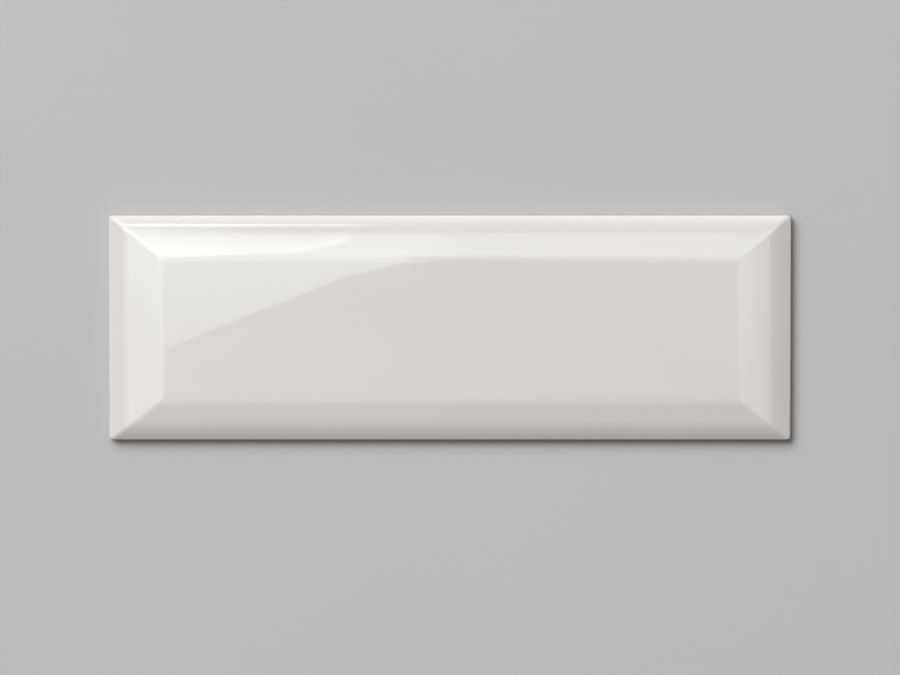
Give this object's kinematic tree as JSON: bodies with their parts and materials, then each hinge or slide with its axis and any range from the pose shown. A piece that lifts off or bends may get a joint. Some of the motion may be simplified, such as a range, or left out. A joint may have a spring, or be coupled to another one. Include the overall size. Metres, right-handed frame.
{
  "type": "bevelled wall tile",
  "caption": "Long glazed ceramic wall tile: a raised flat panel falls through mitred bevels to a narrow rim; the back is keyed for adhesive.",
  "frame": {"origin": "centre of the back, on the plane that the ribs and the plain margin share", "axes": "+X along the length, +Y up the tile as it is laid in a wall, +Z out of the glazed face"},
  "size_m": [0.3, 0.1, 0.0085],
  "materials": {
    "glazed_ceramic": "gloss white glaze over cream biscuit"
  },
  "bodies": {
    "root": {"tile_body": "glazed_ceramic"}
  },
  "joints": []
}
